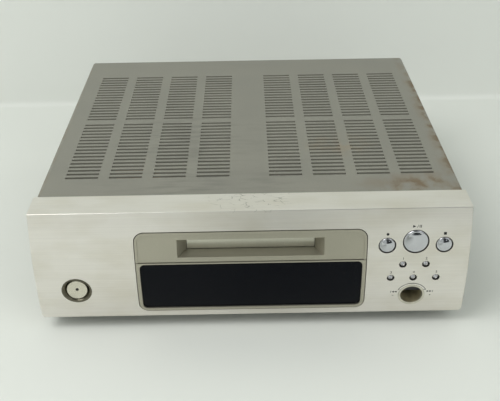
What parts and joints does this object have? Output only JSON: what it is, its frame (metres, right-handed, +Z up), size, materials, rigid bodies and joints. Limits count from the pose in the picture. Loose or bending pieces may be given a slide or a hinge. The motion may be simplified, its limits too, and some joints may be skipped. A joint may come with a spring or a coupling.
{
  "type": "minidisc deck",
  "caption": "Compact hi-fi minidisc deck with a bowed brushed-metal front, slot door, smoked display, round keys, a vented steel cover and a working disc drive.",
  "frame": {"origin": "on the floor, under the middle of the deck's bounding box", "axes": "+X to the right as seen from the front, +Y to the rear, +Z up; the front panel faces -Y"},
  "size_m": [0.25, 0.2756, 0.082],
  "materials": {
    "brushed_aluminium": "fine horizontal brushing, champagne-silver anodising",
    "grey_painted_steel": "satin grey paint, slightly textured",
    "plaque_plastic": "champagne metallic paint on a moulding",
    "door_plastic": "champagne metallic paint on a moulding",
    "smoked_window": "polished smoked acrylic",
    "chrome_plate": "bright plating on a moulded key",
    "spun_metal": "turned face with fine rings",
    "bronze_collar": "bronze anodising",
    "black_plastic": "moulded, satin",
    "frame_plastic": "moulded, satin",
    "zinc_steel": "zinc-plated sheet",
    "board_laminate": "solder-masked laminate",
    "component_black": "moulded cases and sleeves",
    "tube_glass": "dark glass envelope",
    "sink_aluminium": "extruded",
    "core_steel": "varnished laminations",
    "winding_tape": "varnished tape over copper wire",
    "ribbon_vinyl": "extruded vinyl",
    "contact_plate": "nickel plating",
    "socket_white": "moulded",
    "socket_red": "moulded",
    "damper_rubber": "moulded rubber",
    "gear_nylon": "moulded acetal",
    "lens_glass": "coated lens",
    "lens_dark": "dark light pipe",
    "screw_zinc": "yellow-passivated zinc",
    "foot_plastic": "moulded foot with a soft pad"
  },
  "bodies": {
    "root": {"front_panel": "brushed_aluminium", "slot_surround": "plaque_plastic", "door_spring": "zinc_steel", "display_frame": "plaque_plastic", "display_window": "smoked_window", "power_ring": "spun_metal", "selector_well": "bronze_collar", "selector_encoder": "zinc_steel", "front_frame": "frame_plastic", "front_boards": "board_laminate", "key_switches": "component_black", "display_tube": "tube_glass", "top_cover": "grey_painted_steel", "bottom_chassis": "zinc_steel", "rear_panel": "grey_painted_steel", "feet": "foot_plastic", "case_screws": "screw_zinc", "circuit_boards": "board_laminate", "board_components": "component_black", "shield_can": "contact_plate", "heat_sink": "sink_aluminium", "transformer_core": "core_steel", "transformer_winding": "winding_tape", "ribbon_leads": "ribbon_vinyl", "line_socket_block": "black_plastic", "socket_contacts": "contact_plate", "line_inserts_left": "socket_white", "line_inserts_right": "socket_red", "optical_sockets": "black_plastic", "mains_inlet": "black_plastic", "drive_cradle": "zinc_steel", "drive_dampers": "damper_rubber", "drive_fasteners": "screw_zinc", "drive_base": "zinc_steel", "guide_rails": "contact_plate", "drive_motors": "contact_plate"},
    "slot_door": {"slot_door": "door_plastic"},
    "power_button": {"power_button": "spun_metal", "power_lens": "lens_dark"},
    "record_button": {"record_button": "chrome_plate"},
    "play_button": {"play_button": "chrome_plate"},
    "stop_button": {"stop_button": "chrome_plate"},
    "selector_pusher": {"selector_pusher": "gear_nylon"},
    "selector_rotor": {"selector_rotor": "black_plastic"},
    "optical_shutter_left": {"optical_shutter_left": "component_black"},
    "optical_shutter_right": {"optical_shutter_right": "component_black"},
    "cam_slider": {"cam_slider": "zinc_steel"},
    "cartridge_holder": {"cartridge_holder": "zinc_steel"},
    "loading_gear": {"loading_gear": "gear_nylon"},
    "loading_pinion": {"loading_pinion": "gear_nylon"},
    "sled_gear": {"sled_gear": "gear_nylon"},
    "turntable": {"turntable": "black_plastic"},
    "pickup_sled": {"pickup_sled": "black_plastic", "pickup_lens": "lens_glass"},
    "head_arm": {"head_arm": "contact_plate"},
    "upper_left_key": {"upper_left_key": "chrome_plate"},
    "upper_right_key": {"upper_right_key": "chrome_plate"},
    "lower_left_key": {"lower_left_key": "chrome_plate"},
    "lower_middle_key": {"lower_middle_key": "chrome_plate"},
    "lower_right_key": {"lower_right_key": "chrome_plate"}
  },
  "joints": [
    {"name": "door_swing", "type": "hinge", "parent": "root", "child": "slot_door", "pos_m": [0, -0.1264, 0.0633], "axis": [1, 0, 0], "range_deg": [0, 78], "stiffness_Nm_per_rad": 0.0005},
    {"name": "power_press", "type": "slide", "parent": "root", "child": "power_button", "axis": [0, 1, 0], "range_m": [0, 0.0012], "stiffness_N_per_m": 150},
    {"name": "record_press", "type": "slide", "parent": "root", "child": "record_button", "axis": [0, 1, 0], "range_m": [0, 0.0006], "stiffness_N_per_m": 150},
    {"name": "play_press", "type": "slide", "parent": "root", "child": "play_button", "axis": [0, 1, 0], "range_m": [0, 0.0006], "stiffness_N_per_m": 150},
    {"name": "stop_press", "type": "slide", "parent": "root", "child": "stop_button", "axis": [0, 1, 0], "range_m": [0, 0.0006], "stiffness_N_per_m": 150},
    {"name": "upper_left_key_press", "type": "slide", "parent": "root", "child": "upper_left_key", "axis": [0, 1, 0], "range_m": [0, 0.0006], "stiffness_N_per_m": 150},
    {"name": "upper_right_key_press", "type": "slide", "parent": "root", "child": "upper_right_key", "axis": [0, 1, 0], "range_m": [0, 0.0006], "stiffness_N_per_m": 150},
    {"name": "lower_left_key_press", "type": "slide", "parent": "root", "child": "lower_left_key", "axis": [0, 1, 0], "range_m": [0, 0.0006], "stiffness_N_per_m": 150},
    {"name": "lower_middle_key_press", "type": "slide", "parent": "root", "child": "lower_middle_key", "axis": [0, 1, 0], "range_m": [0, 0.0006], "stiffness_N_per_m": 150},
    {"name": "lower_right_key_press", "type": "slide", "parent": "root", "child": "lower_right_key", "axis": [0, 1, 0], "range_m": [0, 0.0006], "stiffness_N_per_m": 150},
    {"name": "selector_press", "type": "slide", "parent": "root", "child": "selector_pusher", "axis": [0, 1, 0], "range_m": [0, 0.0005], "stiffness_N_per_m": 150},
    {"name": "selector_turn", "type": "hinge", "parent": "selector_pusher", "child": "selector_rotor", "pos_m": [0.0938, -0.12129, 0.0233], "axis": [0, 1, 0], "continuous": true},
    {"name": "cam_slide", "type": "slide", "parent": "root", "child": "cam_slider", "axis": [0, 1, 0], "range_m": [0, 0.015]},
    {"name": "holder_lower", "type": "slide", "parent": "root", "child": "cartridge_holder", "axis": [0, 0, -1], "range_m": [0, 0.005]},
    {"name": "loading_gear_turn", "type": "hinge", "parent": "root", "child": "loading_gear", "pos_m": [-0.018, -0.0688, 0.0374], "axis": [0, 0, -1], "range_deg": [0, 108]},
    {"name": "loading_pinion_turn", "type": "hinge", "parent": "root", "child": "loading_pinion", "pos_m": [-0.018, -0.0552, 0.0374], "axis": [0, 0, 1], "range_deg": [0, 154]},
    {"name": "sled_travel", "type": "slide", "parent": "root", "child": "pickup_sled", "axis": [1, 0, 0], "range_m": [0, 0.016]},
    {"name": "sled_gear_turn", "type": "hinge", "parent": "root", "child": "sled_gear", "pos_m": [0.016, -0.0432, 0.039], "axis": [0, 0, 1], "range_deg": [0, 164]},
    {"name": "head_lower", "type": "hinge", "parent": "pickup_sled", "child": "head_arm", "pos_m": [0, -0.0268, 0.0639], "axis": [1, 0, 0], "range_deg": [0, 6], "stiffness_Nm_per_rad": 0.002},
    {"name": "disc_spin", "type": "hinge", "parent": "root", "child": "turntable", "pos_m": [0, -0.0688, 0.039], "axis": [0, 0, 1], "continuous": true},
    {"name": "shutter_left_swing", "type": "hinge", "parent": "root", "child": "optical_shutter_left", "pos_m": [0.078, 0.1316, 0.0536], "axis": [-1, 0, 0], "range_deg": [0, 80]},
    {"name": "shutter_right_swing", "type": "hinge", "parent": "root", "child": "optical_shutter_right", "pos_m": [0.096, 0.1316, 0.0536], "axis": [-1, 0, 0], "range_deg": [0, 80]}
  ],
  "couplings": [
    {"joint": "holder_lower", "follows": "cam_slide", "ratio": 0.33333},
    {"joint": "loading_gear_turn", "follows": "cam_slide", "rad_per_m": 125},
    {"joint": "loading_pinion_turn", "follows": "cam_slide", "rad_per_m": 178.57},
    {"joint": "sled_gear_turn", "follows": "sled_travel", "rad_per_m": 178.57}
  ]
}
